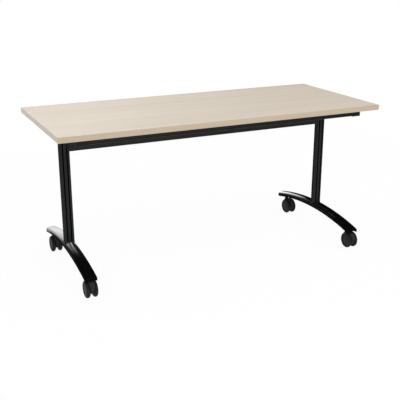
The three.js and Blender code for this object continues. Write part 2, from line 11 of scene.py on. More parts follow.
import bmesh
import bpy
import numpy as np
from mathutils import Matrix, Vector


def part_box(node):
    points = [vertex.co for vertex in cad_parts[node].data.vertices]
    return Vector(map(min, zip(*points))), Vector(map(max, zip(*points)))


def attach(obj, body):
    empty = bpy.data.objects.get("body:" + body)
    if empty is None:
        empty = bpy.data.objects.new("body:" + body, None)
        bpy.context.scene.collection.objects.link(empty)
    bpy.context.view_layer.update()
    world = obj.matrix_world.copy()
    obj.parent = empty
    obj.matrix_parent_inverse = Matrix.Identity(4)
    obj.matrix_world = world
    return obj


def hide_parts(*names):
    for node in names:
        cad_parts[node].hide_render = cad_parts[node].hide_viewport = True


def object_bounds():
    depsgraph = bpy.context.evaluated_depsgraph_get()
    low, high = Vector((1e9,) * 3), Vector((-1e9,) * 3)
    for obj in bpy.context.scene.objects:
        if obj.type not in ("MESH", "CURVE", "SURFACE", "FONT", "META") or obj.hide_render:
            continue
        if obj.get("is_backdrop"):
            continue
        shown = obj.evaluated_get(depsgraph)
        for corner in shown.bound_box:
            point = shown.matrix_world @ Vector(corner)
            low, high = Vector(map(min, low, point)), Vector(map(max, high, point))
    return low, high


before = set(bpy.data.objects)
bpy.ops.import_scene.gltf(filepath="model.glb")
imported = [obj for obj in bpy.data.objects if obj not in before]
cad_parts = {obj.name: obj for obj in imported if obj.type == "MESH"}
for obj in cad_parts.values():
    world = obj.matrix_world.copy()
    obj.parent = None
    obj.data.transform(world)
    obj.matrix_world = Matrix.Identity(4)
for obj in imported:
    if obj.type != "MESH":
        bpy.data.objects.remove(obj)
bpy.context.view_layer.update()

SIDES = {"left": -1, "right": 1}
ENDS = {"front": -1, "back": 1}


def corners(node):
    """Lowest and highest corner of a solid, as arrays in metres."""
    low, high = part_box(node)
    return np.array(low), np.array(high)


# %% [markdown]
# ## Camera
# The photograph was taken from the left of the table, a little above it. Its corners fix the lens and
# the place: with the picture 400 pixels square, the focal length is a number of pixels, and the lens in
# millimetres follows from Blender's sensor of 36 mm.

# %% Camera at the photograph's place
PICTURE = 400
FOCAL_PIXELS = 734.8
SENSOR = 36.0
CAMERA_PLACE = Vector((-1.5052, -3.1846, 1.4398))
CAMERA_TURN = math.radians(25.18)
CAMERA_DIP = math.radians(18.60)


def add_object(name, data):
    """A new object in the scene, for a mesh, a camera or a lamp."""
    thing = bpy.data.objects.new(name, data)
    bpy.context.scene.collection.objects.link(thing)
    return thing


def aim(thing, place, direction):
    """Puts a camera or a lamp at a place and turns it to look along a direction."""
    thing.location = place
    thing.rotation_mode = "QUATERNION"
    thing.rotation_quaternion = direction.to_track_quat("-Z", "Y")


camera_data = bpy.data.cameras.new("camera")
camera_data.sensor_width = SENSOR
camera_data.lens = SENSOR * FOCAL_PIXELS / PICTURE
camera = add_object("camera", camera_data)
aim(camera, CAMERA_PLACE, Vector((
    math.sin(CAMERA_TURN) * math.cos(CAMERA_DIP),
    math.cos(CAMERA_TURN) * math.cos(CAMERA_DIP),
    -math.sin(CAMERA_DIP),
)))
bpy.context.scene.camera = camera
print("lens", round(camera_data.lens, 2), "mm")

# %% [markdown]
# ## Node helpers
# A finish is a small tree of nodes, and a few helpers keep the trees short. Effects that several
# finishes share are node groups, built once, and their outputs change over the surface. Constants stay
# on the shader's own sockets.

# %% Helpers for node trees


def add_node(tree, kind, values=None, **settings):
    """Adds a node of that kind and sets its properties and inputs."""
    node = tree.nodes.new(kind)
    for name, value in settings.items():
        setattr(node, name, value)
    for socket, value in (values or {}).items():
        node.inputs[socket].default_value = value
    return node


def arithmetic(tree, operation, *values):
    """One Math node; each input is a socket or a number."""
    node = add_node(tree, "ShaderNodeMath", operation=operation)
    for socket, value in zip(node.inputs, values):
        if isinstance(value, bpy.types.NodeSocket):
            tree.links.new(value, socket)
        else:
            socket.default_value = value
    return node.outputs[0]


def new_group(name, inputs, outputs):
    """A shader node group with named float or colour sockets, and its two ends."""
    group = bpy.data.node_groups.new(name, "ShaderNodeTree")
    for label, kind, value in inputs:
        socket = group.interface.new_socket(label, in_out="INPUT", socket_type=kind)
        socket.default_value = value
    for label, kind in outputs:
        group.interface.new_socket(label, in_out="OUTPUT", socket_type=kind)
    return group, group.nodes.new("NodeGroupInput"), group.nodes.new("NodeGroupOutput")


def place_group(tree, group, **values):
    """Puts a node group into a tree with its own values."""
    return add_node(tree, "ShaderNodeGroup", values, node_tree=group)


def new_finish(name, **shader):
    """A material with one Principled shader, whose constant sockets are set by name."""
    material = bpy.data.materials.new(name)
    material.use_nodes = True
    tree = material.node_tree
    principled = tree.nodes["Principled BSDF"]
    for socket, value in shader.items():
        principled.inputs[socket.replace("_", " ")].default_value = value
    return material, tree, principled


def add_bump(tree, principled, height, strength, distance):
    """Turns a height into a slight unevenness of the surface."""
    bump = add_node(tree, "ShaderNodeBump", {"Strength": strength, "Distance": distance})
    tree.links.new(height, bump.inputs["Height"])
    tree.links.new(bump.outputs["Normal"], principled.inputs["Normal"])


# %% [markdown]
# ## Wood-grain laminate
# The top is a board covered with a pale printed laminate, its grain along the length. Grain is noise
# that is stretched: slow along the fibre and quick across it. Three sizes are added up: wide soft
# bands, fibres a few millimetres apart, and short dark pores.

# %% Grain group
FLOAT, COLOUR, VECTOR = "NodeSocketFloat", "NodeSocketColor", "NodeSocketVector"
NOISE_GAIN = 0.55
BAND_SHARE, BAND_SHIFT = 1.1, -0.30
FIBRE_SHARE = 0.5
PORE_SHARE = 0.35
PORE_RANGE = {"From Min": 0.60, "From Max": 0.72}
SHEEN_SHARE, SHEEN_BASE = 0.12, 0.40

grain_group, grain_in, grain_out = new_group(
    "grain",
    [("Vector", VECTOR, (0.0, 0.0, 0.0)), ("Tone", COLOUR, (0.68, 0.6, 0.5, 1.0)),
     ("Dark", COLOUR, (0.5, 0.42, 0.32, 1.0)), ("Contrast", FLOAT, 0.3)],
    [("Color", COLOUR), ("Roughness", FLOAT), ("Height", FLOAT)],
)


def grain_noise(across, along, detail, distortion=0.0):
    """Noise with that many features to the metre across the fibre (Y, Z) and along it (X)."""
    mapping = add_node(grain_group, "ShaderNodeMapping", {"Scale": (along, across, across)})
    noise = add_node(grain_group, "ShaderNodeTexNoise", {
        "Scale": 1.0, "Detail": detail, "Roughness": NOISE_GAIN, "Distortion": distortion})
    grain_group.links.new(grain_in.outputs["Vector"], mapping.inputs["Vector"])
    grain_group.links.new(mapping.outputs["Vector"], noise.inputs["Vector"])
    return noise.outputs["Fac"]


def grain_sum(operation, *values):
    """One Math node of the grain group."""
    return arithmetic(grain_group, operation, *values)


bands = grain_noise(across=16.0, along=0.9, detail=3.0, distortion=0.4)
fibres = grain_noise(across=240.0, along=4.0, detail=4.0, distortion=0.2)
pores = grain_noise(across=900.0, along=28.0, detail=2.0)
pore_mask = add_node(grain_group, "ShaderNodeMapRange", PORE_RANGE, clamp=True)
grain_group.links.new(pores, pore_mask.inputs["Value"])
band_part = grain_sum("MULTIPLY_ADD", bands, BAND_SHARE, BAND_SHIFT)
fibre_part = grain_sum("MULTIPLY", fibres, FIBRE_SHARE)
pore_part = grain_sum("MULTIPLY", pore_mask.outputs["Result"], PORE_SHARE)
figure = grain_sum("ADD", grain_sum("ADD", band_part, fibre_part), pore_part)
blend = add_node(grain_group, "ShaderNodeMix", data_type="RGBA", clamp_factor=True)
for source, socket in (
        (grain_sum("MULTIPLY", figure, grain_in.outputs["Contrast"]), blend.inputs["Factor"]),
        (grain_in.outputs["Tone"], blend.inputs["A"]),
        (grain_in.outputs["Dark"], blend.inputs["B"]),
        (blend.outputs["Result"], grain_out.inputs["Color"]),
        (grain_sum("MULTIPLY_ADD", fibres, SHEEN_SHARE, SHEEN_BASE), grain_out.inputs["Roughness"]),
        (grain_sum("SUBTRACT", fibre_part, pore_part), grain_out.inputs["Height"])):
    grain_group.links.new(source, socket)
print("grain group has", len(grain_group.nodes), "nodes")

# %% Laminate and edge-band finishes
GRAIN_BUMP, GRAIN_DEPTH = 0.12, 0.0004


def srgb(red, green, blue):
    """The linear colour of a colour given in display values from 0 to 255."""
    display = np.array([red, green, blue]) / 255.0
    linear = np.where(display <= 0.04045, display / 12.92, ((display + 0.055) / 1.055) ** 2.4)
    return (*linear.tolist(), 1.0)


def wood_finish(name, tone, dark, contrast, turn=0.0, shift=0.0):
    """Laminate: the grain runs along X, or along Y after a quarter turn."""
    material, tree, principled = new_finish(name, Specular_IOR_Level=0.06)
    place = add_node(tree, "ShaderNodeTexCoord")
    mapping = add_node(tree, "ShaderNodeMapping", {
        "Location": (0.0, shift, shift), "Rotation": (0.0, 0.0, turn)})
    grain = place_group(tree, grain_group, Tone=tone, Dark=dark, Contrast=contrast)
    tree.links.new(place.outputs["Object"], mapping.inputs["Vector"])
    tree.links.new(mapping.outputs["Vector"], grain.inputs["Vector"])
    tree.links.new(grain.outputs["Color"], principled.inputs["Base Color"])
    tree.links.new(grain.outputs["Roughness"], principled.inputs["Roughness"])
    add_bump(tree, principled, grain.outputs["Height"], GRAIN_BUMP, GRAIN_DEPTH)
    return material


laminate = wood_finish("laminate", srgb(223, 213, 199), srgb(193, 177, 155), contrast=0.5)
band_long = wood_finish(
    "edge_band_long", srgb(205, 190, 169), srgb(174, 152, 124), contrast=0.55, shift=0.7)
band_cross = wood_finish(
    "edge_band_cross", srgb(212, 203, 191), srgb(184, 171, 154), contrast=0.55,
    turn=math.pi / 2, shift=1.3)
print("wood finishes:", laminate.name, band_long.name, band_cross.name)

# %% [markdown]
# ## Black finishes
# The metalwork is black: a powder coat on bars and columns, a deep gloss on the feet, moulded plastic on
# the casters. Powder coat has an orange-peel skin, and moulded plastic a fine spark texture. Both are
# one noise at different scales, so they share a group, and so do zinc plate and nylon.

# %% Skin group
CLOUD_CELLS = 14.0
skin_group, skin_in, skin_out = new_group(
    "skin",
    [("Cells", FLOAT, 900.0), ("Roughness", FLOAT, 0.4), ("Spread", FLOAT, 0.1),
     ("Tone", COLOUR, (0.01, 0.01, 0.01, 1.0)), ("Worn", COLOUR, (0.02, 0.02, 0.02, 1.0))],
    [("Color", COLOUR), ("Roughness", FLOAT), ("Height", FLOAT)],
)
skin_place = add_node(skin_group, "ShaderNodeTexCoord")
skin_noise = add_node(skin_group, "ShaderNodeTexNoise", {"Detail": 2.0, "Roughness": 0.5})
cloud_noise = add_node(skin_group, "ShaderNodeTexNoise", {"Scale": CLOUD_CELLS, "Detail": 3.0})
skin_mix = add_node(skin_group, "ShaderNodeMix", data_type="RGBA", clamp_factor=True)
cloud = arithmetic(skin_group, "SUBTRACT", cloud_noise.outputs["Fac"], 0.5)
wander = arithmetic(skin_group, "MULTIPLY", cloud, skin_in.outputs["Spread"])
rough = arithmetic(skin_group, "ADD", skin_in.outputs["Roughness"], wander)
for source, socket in (
        (skin_place.outputs["Object"], skin_noise.inputs["Vector"]),
        (skin_place.outputs["Object"], cloud_noise.inputs["Vector"]),
        (skin_in.outputs["Cells"], skin_noise.inputs["Scale"]),
        (cloud_noise.outputs["Fac"], skin_mix.inputs["Factor"]),
        (skin_in.outputs["Tone"], skin_mix.inputs["A"]),
        (skin_in.outputs["Worn"], skin_mix.inputs["B"]),
        (skin_mix.outputs["Result"], skin_out.inputs["Color"]),
        (rough, skin_out.inputs["Roughness"]),
        (skin_noise.outputs["Fac"], skin_out.inputs["Height"])):
    skin_group.links.new(source, socket)
print("skin group has", len(skin_group.nodes), "nodes")

# %% Coats, plastics and metals


def skin_finish(name, tone, worn, cells, roughness, spread=0.10, bump=0.10, depth=0.0004, **shader):
    """A finish whose colour, gloss and skin come from the shared group."""
    material, tree, principled = new_finish(name, **shader)
    skin = place_group(
        tree, skin_group, Cells=cells, Roughness=roughness, Spread=spread, Tone=tone, Worn=worn)
    tree.links.new(skin.outputs["Color"], principled.inputs["Base Color"])
    tree.links.new(skin.outputs["Roughness"], principled.inputs["Roughness"])
    add_bump(tree, principled, skin.outputs["Height"], bump, depth)
    return material


coated = skin_finish(
    "powder_coat", srgb(17, 18, 19), srgb(23, 24, 25), cells=1100.0, roughness=0.36,
    Specular_IOR_Level=0.2)
satin_coat = skin_finish(
    "satin_coat", srgb(38, 39, 40), srgb(43, 44, 45), cells=1100.0, roughness=0.5,
    Specular_IOR_Level=0.0, Coat_Roughness=0.42, Coat_IOR=1.5)
matte_coat = skin_finish(
    "matte_coat", srgb(14, 15, 16), srgb(19, 20, 21), cells=1100.0, roughness=0.66,
    Specular_IOR_Level=0.06)
gloss = skin_finish(
    "gloss_black", srgb(7, 7, 8), srgb(11, 11, 12), cells=260.0, roughness=0.45, spread=0.08, bump=0.006,
    Specular_IOR_Level=0.0, Coat_Roughness=0.06, Coat_IOR=1.6)
plastic = skin_finish(
    "black_plastic", srgb(20, 21, 22), srgb(27, 28, 29), cells=1600.0, roughness=0.48, spread=0.12,
    bump=0.14, Specular_IOR_Level=0.14)
hood_plastic = skin_finish(
    "hood_plastic", srgb(44, 45, 46), srgb(52, 53, 54), cells=1600.0, roughness=0.55, spread=0.12,
    bump=0.14, Specular_IOR_Level=0.05)
tread = skin_finish(
    "tread", srgb(28, 29, 31), srgb(36, 37, 39), cells=1300.0, roughness=0.58, spread=0.14, bump=0.15,
    Specular_IOR_Level=0.10)
steel = skin_finish(
    "zinc_steel", srgb(176, 180, 184), srgb(200, 202, 204), cells=700.0, roughness=0.32, spread=0.18,
    bump=0.06, depth=0.0003, Metallic=1.0)
dark_steel = skin_finish(
    "dark_steel", srgb(58, 60, 63), srgb(72, 74, 77), cells=700.0, roughness=0.38, spread=0.18,
    bump=0.06, depth=0.0003, Metallic=1.0)
nylon = skin_finish(
    "nylon", srgb(214, 213, 205), srgb(224, 223, 216), cells=500.0, roughness=0.5, bump=0.05,
    depth=0.0003)
print("finishes:", len(bpy.data.materials))

# %% [markdown]
# Two of these finishes read a mask that rides on the mesh. The flutes of a column are narrow and swallow
# light, so shade is painted there: the satin coat turns near black and loses its sheen. The feet are
# polished along their backs and dull elsewhere, so the gloss is a clear coat whose weight is the mask.

# %% Masks of the painted flute shade and of the polish
SATIN_SHEEN = 0.14
# The near black that is painted into the flutes as their shade.
FLUTE_PAINTED_SHADE = srgb(2, 2, 3)


def mask_of(material, name):
    """The tree of a material, its shader, and a mask read from the mesh."""
    tree = material.node_tree
    mask = add_node(tree, "ShaderNodeAttribute", attribute_name=name)
    return tree, tree.nodes["Principled BSDF"], mask.outputs["Fac"]


# Painted shade: inside a flute the coat is blended towards near black and loses its sheen.
tree, shader, flute = mask_of(satin_coat, "flute")
satin_tone = shader.inputs["Base Color"].links[0].from_socket
flute_shade_mix = add_node(tree, "ShaderNodeMix", {"B": FLUTE_PAINTED_SHADE}, data_type="RGBA")
tree.links.new(flute, flute_shade_mix.inputs["Factor"])
tree.links.new(satin_tone, flute_shade_mix.inputs["A"])
tree.links.new(flute_shade_mix.outputs["Result"], shader.inputs["Base Color"])
land = arithmetic(tree, "SUBTRACT", 1.0, flute)
tree.links.new(arithmetic(tree, "MULTIPLY", land, SATIN_SHEEN), shader.inputs["Coat Weight"])
tree, shader, polish = mask_of(gloss, "polish")
tree.links.new(polish, shader.inputs["Coat Weight"])
print("masked finishes:", satin_coat.name, gloss.name)

# %% [markdown]
# ## A mesh from a grid
# Each new piece is a grid of points worked out as one array: rows along the piece, columns round it.
# The helper turns the grid into quads, closes it where asked, welds the poles and turns every face
# outwards. Edges sharper than an angle stay crisp, the rest are shaded smooth.

# %% Helpers for surfaces
WELD = 1e-6


def surface(name, points, wrap_rows=False, wrap_columns=False, caps=False):
    """Mesh of a grid of points (rows, columns, 3): four neighbours make one face.

    Wrapped rows or columns join the last line to the first. Caps close the first and last row.
    """
    rows, columns = points.shape[:2]
    index = np.arange(rows * columns).reshape(rows, columns)
    ends = [index[0, ::-1].tolist(), index[-1].tolist()] if caps else []
    if wrap_rows:
        index = np.vstack([index, index[:1]])
    if wrap_columns:
        index = np.hstack([index, index[:, :1]])
    quads = np.stack([index[:-1, :-1], index[:-1, 1:], index[1:, 1:], index[1:, :-1]], axis=-1)
    mesh = bpy.data.meshes.new(name)
    mesh.from_pydata(points.reshape(-1, 3).tolist(), [], quads.reshape(-1, 4).tolist() + ends)
    welded = bmesh.new()
    welded.from_mesh(mesh)
    bmesh.ops.remove_doubles(welded, verts=welded.verts, dist=WELD)
    bmesh.ops.recalc_face_normals(welded, faces=welded.faces)
    welded.to_mesh(mesh)
    welded.free()
    return add_object(name, mesh)


def dress(piece, body, finish, replaced=(), crisp=32):
    """Gives a new piece its finish, its shading and the body that carries it."""
    piece.data.materials.append(finish)
    piece.data.polygons.foreach_set("use_smooth", np.ones(len(piece.data.polygons), dtype=bool))
    piece.data.set_sharp_from_angle(angle=math.radians(crisp))
    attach(piece, body)
    if replaced:
        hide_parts(*replaced)
    return piece


def add_mask(piece, name, values):
    """Keeps one value for each vertex on the mesh, for a finish to read."""
    piece.data.attributes.new(name, "FLOAT", "POINT").data.foreach_set("value", values)


def rounded_outline(low, high, radius, steps=9):
    """Rectangle with round corners, anticlockwise: each corner is a quarter circle whose centre lies
    one radius in from both sides."""
    quarter = np.repeat(np.arange(4), steps)
    angle = quarter * np.pi / 2 + np.tile(np.linspace(0, np.pi / 2, steps), 4)
    right = np.isin(quarter, (0, 3))
    upper = np.isin(quarter, (0, 1))
    across = np.where(right, high[0] - radius, low[0] + radius) + radius * np.cos(angle)
    up = np.where(upper, high[1] - radius, low[1] + radius) + radius * np.sin(angle)
    return np.column_stack([across, up])


def densified(outline, spacing):
    """The same closed outline with points no further apart than the spacing, by distance along it."""
    closed = np.vstack([outline, outline[:1]])
    run = np.concatenate([[0.0], np.cumsum(np.linalg.norm(np.diff(closed, axis=0), axis=1))])
    at = np.linspace(0, run[-1], int(run[-1] / spacing), endpoint=False)
    return np.column_stack([np.interp(at, run, closed[:, i]) for i in range(2)])


def lofted(name, x, y, z):
    """Closed tube of sections, one to a row: three arrays that spread over the same grid."""
    points = np.stack(np.broadcast_arrays(x, y, z), axis=-1)
    return surface(name, points, wrap_columns=True, caps=True)


def swept(name, outline, axis, starts):
    """Closed outline carried straight along an axis; starts holds, for each station, where along the
    axis each of the outline's points lies."""
    places = [outline[:, 0], outline[:, 1]]
    places.insert(axis, np.stack([np.broadcast_to(start, len(outline)) for start in starts]))
    return lofted(name, *places)


def turned(name, radius, along, place, axis, segments=72, ring=False):
    """Profile turned about a line: place + along x axis + radius x (cos turn, sin turn) across it."""
    axis = np.array(axis, dtype=float)
    first = np.abs(np.roll(axis, 1))
    second = np.cross(axis, first)
    turn = np.linspace(0, 2 * np.pi, segments, endpoint=False)
    spokes = np.outer(np.cos(turn), first) + np.outer(np.sin(turn), second)
    radius, along = np.asarray(radius, dtype=float), np.asarray(along, dtype=float)
    points = np.array(place) + along[:, None, None] * axis + radius[:, None, None] * spokes[None]
    return surface(name, points, wrap_rows=ring, wrap_columns=True)


# %% [markdown]
# ## Top and edge bands
# The board keeps its solid. The glued bands are strips two millimetres thick whose outer edges are
# scraped round, so each is a small rounded outline carried along its edge.

# %% Board and edge bands
EDGE_SCRAPE = 0.0009
SCRAPE_STEPS = 6


def paint(node, finish):
    """Gives a solid its finish."""
    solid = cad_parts[node]
    solid.data.materials.clear()
    solid.data.materials.append(finish)
    return solid


def band_outline(thick, high, outward):
    """Strip section: square where it is glued, quarter circles at the two outer edges."""
    angle = np.linspace(0, np.pi / 2, SCRAPE_STEPS)
    nose = thick - EDGE_SCRAPE * (1 - np.cos(angle))
    bite = EDGE_SCRAPE * (1 - np.sin(angle))
    depth = np.concatenate([[0.0], nose[::-1], nose, [0.0]])
    rise = np.concatenate([[high], high - bite[::-1], bite, [0.0]])
    return np.column_stack([outward * depth, rise])


paint("table_top", laminate)
for band, axis, outward in (("front", 0, -1), ("back", 0, 1), ("left", 1, -1), ("right", 1, 1)):
    low, high = corners(f"edge_band_{band}")
    across = 1 - axis
    thick = high[across] - low[across]
    glued = low[across] if outward > 0 else high[across]
    outline = band_outline(thick, high[2] - low[2], outward) + np.array([glued, low[2]])
    strip = swept(f"band_{band}", outline, axis, [low[axis], high[axis]])
    dress(strip, "top", band_long if axis == 0 else band_cross, [f"edge_band_{band}"])
print("bands", round(float(thick) * 1000, 1), "mm thick")

# %% [markdown]
# ## Columns
# Each column is an oval aluminium extrusion with six round flutes down its sides, which show in the
# photograph as dark lines. The outline is sampled closely, and points that fall inside a flute's circle
# are pushed inwards onto it. How far a point was pushed is kept as the mask of the flutes, which sets
# the shade painted into them.

# %% Fluted columns
FLUTE = 0.0032
FLUTE_DEPTH = 1.8
FLUTE_SHADE = 2.0
FLUTE_OFFSET = 0.0096
COLUMN_CORNER = 0.015
CORNER_STEPS = 24
COLUMN_SPACING = 0.0004


def fluted_outline(half_width, half_depth):
    """Rounded rectangle less six flutes: a point p inside a flute's circle moves along the inward
    normal n by t, where |p - n t - centre| equals the radius, times how deep the flute is drawn."""
    half = np.array([half_width, half_depth])
    outline = densified(rounded_outline(-half, half, COLUMN_CORNER, CORNER_STEPS), COLUMN_SPACING)
    ahead = np.roll(outline, -1, axis=0) - np.roll(outline, 1, axis=0)
    normal = np.column_stack([ahead[:, 1], -ahead[:, 0]])
    normal = normal / np.linalg.norm(normal, axis=1, keepdims=True)
    sunk = np.zeros(len(outline))
    centres = [(x, y) for x in (-FLUTE_OFFSET, FLUTE_OFFSET) for y in (-half_depth, half_depth)]
    for centre in centres + [(-half_width, 0.0), (half_width, 0.0)]:
        off = outline - np.array(centre)
        level = np.sum(off * normal, axis=1)
        room = level ** 2 - np.sum(off ** 2, axis=1) + FLUTE ** 2
        inside = np.linalg.norm(off, axis=1) < FLUTE
        push = np.where(inside, FLUTE_DEPTH * (level + np.sqrt(np.maximum(room, 0.0))), 0.0)
        outline = outline - normal * push[:, None]
        # The deeper a point is pushed, the darker the shade painted into its flute.
        sunk = np.maximum(sunk, np.clip(FLUTE_SHADE * push / FLUTE, 0.0, 1.0))
    return outline, sunk


for side in SIDES:
    low, high = corners(f"column_{side}")
    outline, sunk = fluted_outline(*((high - low)[:2] / 2))
    stations = [low[2], high[2]]
    column = swept(f"column_shell_{side}", outline + ((low + high) / 2)[:2], 2, stations)
    # The flute mask carries the painted shade of the flutes to the satin coat.
    add_mask(column, "flute", np.tile(sunk, len(stations)))
    dress(column, "base", satin_coat, [f"column_{side}"], crisp=40)
    # The polished feet show the bright studio without the columns before it.
    column.visible_glossy = False
print("column outline has", len(outline), "points")

# %% [markdown]
# ## Crossbar
# A flat rounded tube joins the columns. Its ends are cut to the columns' round sides, so the end of
# each line of the tube depends on how far it lies from the middle.

# %% Crossbar
BEAM_CORNER = 0.004
BEAM_SPACING = 0.0015
FIT = 0.0003
low, high = corners("crossbar")
column_low, column_high = corners("column_right")
half_width, half_depth = (column_high - column_low)[:2] / 2
leg_x = float((column_low + column_high)[0] / 2)
outline = densified(rounded_outline(low[1:], high[1:], BEAM_CORNER), BEAM_SPACING)
beside = np.maximum(np.abs(outline[:, 0]) - (half_depth - COLUMN_CORNER), 0.0)
reach = half_width - COLUMN_CORNER + np.sqrt(COLUMN_CORNER ** 2 - beside ** 2) + FIT
beam = swept("crossbar_tube", outline, 0, [reach - leg_x, leg_x - reach])
dress(beam, "base", coated, ["crossbar"])
print("crossbar", round(float(2 * (leg_x - half_width)), 3), "m between columns")

# %% [markdown]
# ## Feet
# A foot is a cast arch: two arcs about one centre seen from the side, a crowned back seen from the end,
# hollow below. At its tips the lower edge rises and the end wall is arched, as in a casting that is
# drawn from below. The section is one closed loop (outside and inside walls), written as an offset from
# the crown line or from the lower edge, and is carried along the arch.

# %% Lines of the foot
FOOT_RADIUS = 1.470
FOOT_CROWN = 0.0065
FOOT_EDGE = 0.0195
FOOT_WALL = 0.004
FOOT_CORNER = 0.009
FOOT_NOSE = 0.006
FOOT_LIP = 0.0012
FOOT_FILLET = 0.012
TIP_REACH = 0.022
TIP_RISE = 0.008
TIP_ARCH = 0.008
SEAT_RISE = 0.001
foot_low, foot_high = corners("foot_left")
foot_half = float(foot_high[1] - foot_low[1]) / 2
foot_width = float(foot_high[0] - foot_low[0]) / 2
crown_top = float(corners("column_left")[0][2]) - FIT - SEAT_RISE
arch_centre = crown_top - FOOT_RADIUS


def crown_line(y):
    """Height of the arch's crown: the outer circle."""
    return arch_centre + np.sqrt(FOOT_RADIUS ** 2 - y ** 2)


def lower_line(y):
    """Height of the arch's lower edge: the inner circle about the same centre."""
    return arch_centre + np.sqrt((FOOT_RADIUS - FOOT_CROWN - FOOT_EDGE) ** 2 - y ** 2)


def tip_line(y):
    """Height of the lower edge with its tips: over the last stretch it rises along a quarter ellipse."""
    past = np.clip((np.abs(y) - (foot_half - TIP_REACH)) / TIP_REACH, 0.0, 1.0)
    return lower_line(y) + TIP_RISE * (1 - np.sqrt(1 - past ** 2))


def rounding(y, radius):
    """How far a round tip of that radius has drawn in at y: zero until one radius from the end."""
    past = np.clip(np.abs(y) - (foot_half - radius), 0.0, radius)
    return radius - np.sqrt(radius ** 2 - past ** 2)


print("foot", round(2 * foot_half, 3), "m long, crown at", round(crown_top, 4), "m")

# %% Foot shells
FILLET_STEPS, CROWN_STEPS, INNER_STEPS = 13, 16, 13
TIP_STEPS, ARCH_STEPS = 19, 81


def foot_section():
    """One closed loop as (x, height offset, share of the crown line, inner or not).

    The crown is a circle through the edges; a fillet circle touches it and the straight side.
    """
    crown_radius = (foot_width ** 2 + FOOT_CROWN ** 2) / (2 * FOOT_CROWN)
    fillet_x = foot_width - FOOT_FILLET
    fillet_z = np.sqrt((crown_radius - FOOT_FILLET) ** 2 - fillet_x ** 2) - crown_radius
    lean = np.arctan2(fillet_x, fillet_z + crown_radius)
    turn = np.linspace(np.pi / 2, lean, FILLET_STEPS)
    fillet = FOOT_FILLET * np.column_stack([np.sin(turn), np.cos(turn)]) + [fillet_x, fillet_z]
    sweep = np.linspace(lean, 0.0, CROWN_STEPS)[1:]
    crown = crown_radius * np.column_stack([np.sin(sweep), np.cos(sweep)]) - [0.0, crown_radius]
    right = np.vstack([fillet, crown])
    back = np.vstack([right, right[-2::-1] * [-1, 1]])
    inner_x = np.linspace(-1, 1, INNER_STEPS) * (foot_width - FOOT_WALL)
    inner_z = np.sqrt(crown_radius ** 2 - inner_x ** 2) - crown_radius - FOOT_WALL
    outer_foot = np.array([[foot_width - FOOT_LIP, 0.0], [foot_width, FOOT_LIP]])
    inner_foot = np.array([[foot_width - FOOT_WALL, 0.0]])
    loop = np.vstack([
        outer_foot, back, outer_foot[::-1] * [-1, 1], inner_foot * [-1, 1],
        np.column_stack([inner_x, inner_z]), inner_foot,
    ])
    share = np.repeat([0, 1, 0, 1, 0], [2, len(back), 3, INNER_STEPS, 1])
    inner = np.repeat([0, 1], [len(back) + 4, INNER_STEPS + 2])
    return loop, share, inner


def foot_shell(name, centre_x):
    """Section carried along the arch: near the tips its sides and top draw in along quarter circles,
    its lower edge rises, and its hollow closes in a wall with an arched lower edge."""
    tip = foot_half - TIP_REACH * (1 - np.sin(np.linspace(0, np.pi / 2, TIP_STEPS)))
    wall_end = foot_half - FOOT_WALL
    run = np.concatenate([
        -tip[::-1], np.linspace(-tip[0], tip[0], ARCH_STEPS)[1:-1], tip, [-wall_end, wall_end]])
    run = np.unique(np.round(run, 7))
    loop, share, inner = foot_section()
    top = crown_line(run) - rounding(run, FOOT_NOSE)
    bottom = tip_line(run)
    narrow = 1 - rounding(run, FOOT_CORNER) / foot_width
    roof = np.maximum(top[:, None] + loop[:, 1], bottom[:, None] + FOOT_LIP)
    height = np.where(share > 0, roof, bottom[:, None] + loop[:, 1])
    arch = TIP_ARCH * np.maximum(1 - (loop[:, 0] / (foot_width - FOOT_WALL)) ** 2, 0.0)
    arched = np.minimum(bottom[:, None] + arch, top[:, None] - FOOT_WALL)
    walled = (np.abs(run) >= wall_end - WELD)[:, None]
    height = np.where(walled & (inner > 0) & (share > 0), arched, height)
    return lofted(name, centre_x + loop[:, 0] * narrow[:, None], run[:, None], height)


shells = {side: foot_shell(f"foot_shell_{side}", hand * leg_x) for side, hand in SIDES.items()}
print("foot shell has", len(shells["left"].data.polygons), "faces")

# %% [markdown]
# The polish lies on the back of a foot and ends a little way down its sides. The front tips, where
# shoes rub, and the far side of the right foot are dull, and towards its rear tip the left foot is
# polished further down. The mask is worked out from each vertex's place.

# %% Polish of the feet
POLISH_END = {"left": 0.011, "right": 0.0140}
POLISH_MORE = {"left": 0.006, "right": 0.0}
POLISH_RUN = (0.10, 0.30)
POLISH_FADE = 0.004
WORN_TIP = 0.110
DULL_FROM = -0.008
DULL_SIDE = 0.03


def fade_out(distance, stretch):
    """Falls evenly from one, a stretch or more away, to zero."""
    return np.clip(distance / stretch, 0.0, 1.0)


def foot_polish(x, y, z, side):
    """Product of three fades: down from the crown line, towards the front tip, and on the right foot
    towards its far side; never less than the dull side."""
    end = POLISH_END[side] + np.interp(y, POLISH_RUN, (0.0, POLISH_MORE[side]))
    mask = fade_out(end - (crown_line(y) - z), POLISH_FADE)
    mask = mask * fade_out(y + foot_half - WORN_TIP, WORN_TIP)
    if side == "right":
        mask = mask * fade_out(leg_x + DULL_FROM - x, POLISH_FADE)
    return np.maximum(mask, DULL_SIDE)


for side, shell in shells.items():
    place = np.empty(len(shell.data.vertices) * 3)
    shell.data.vertices.foreach_get("co", place)
    mask = foot_polish(*place.reshape(-1, 3).T, side)
    add_mask(shell, "polish", mask)
    dress(shell, "base", gloss, [f"foot_{side}"], crisp=38)
    print(side, "foot polished over", round(float(np.mean(mask > 0.5)), 2), "of its vertices")

# %% [markdown]
# Under its back a foot is stiffened: a long rib, four cross ribs and a round boss for each caster stem.
# The column stands on a thin seat. All are short sweeps set between the shell's own two lines.

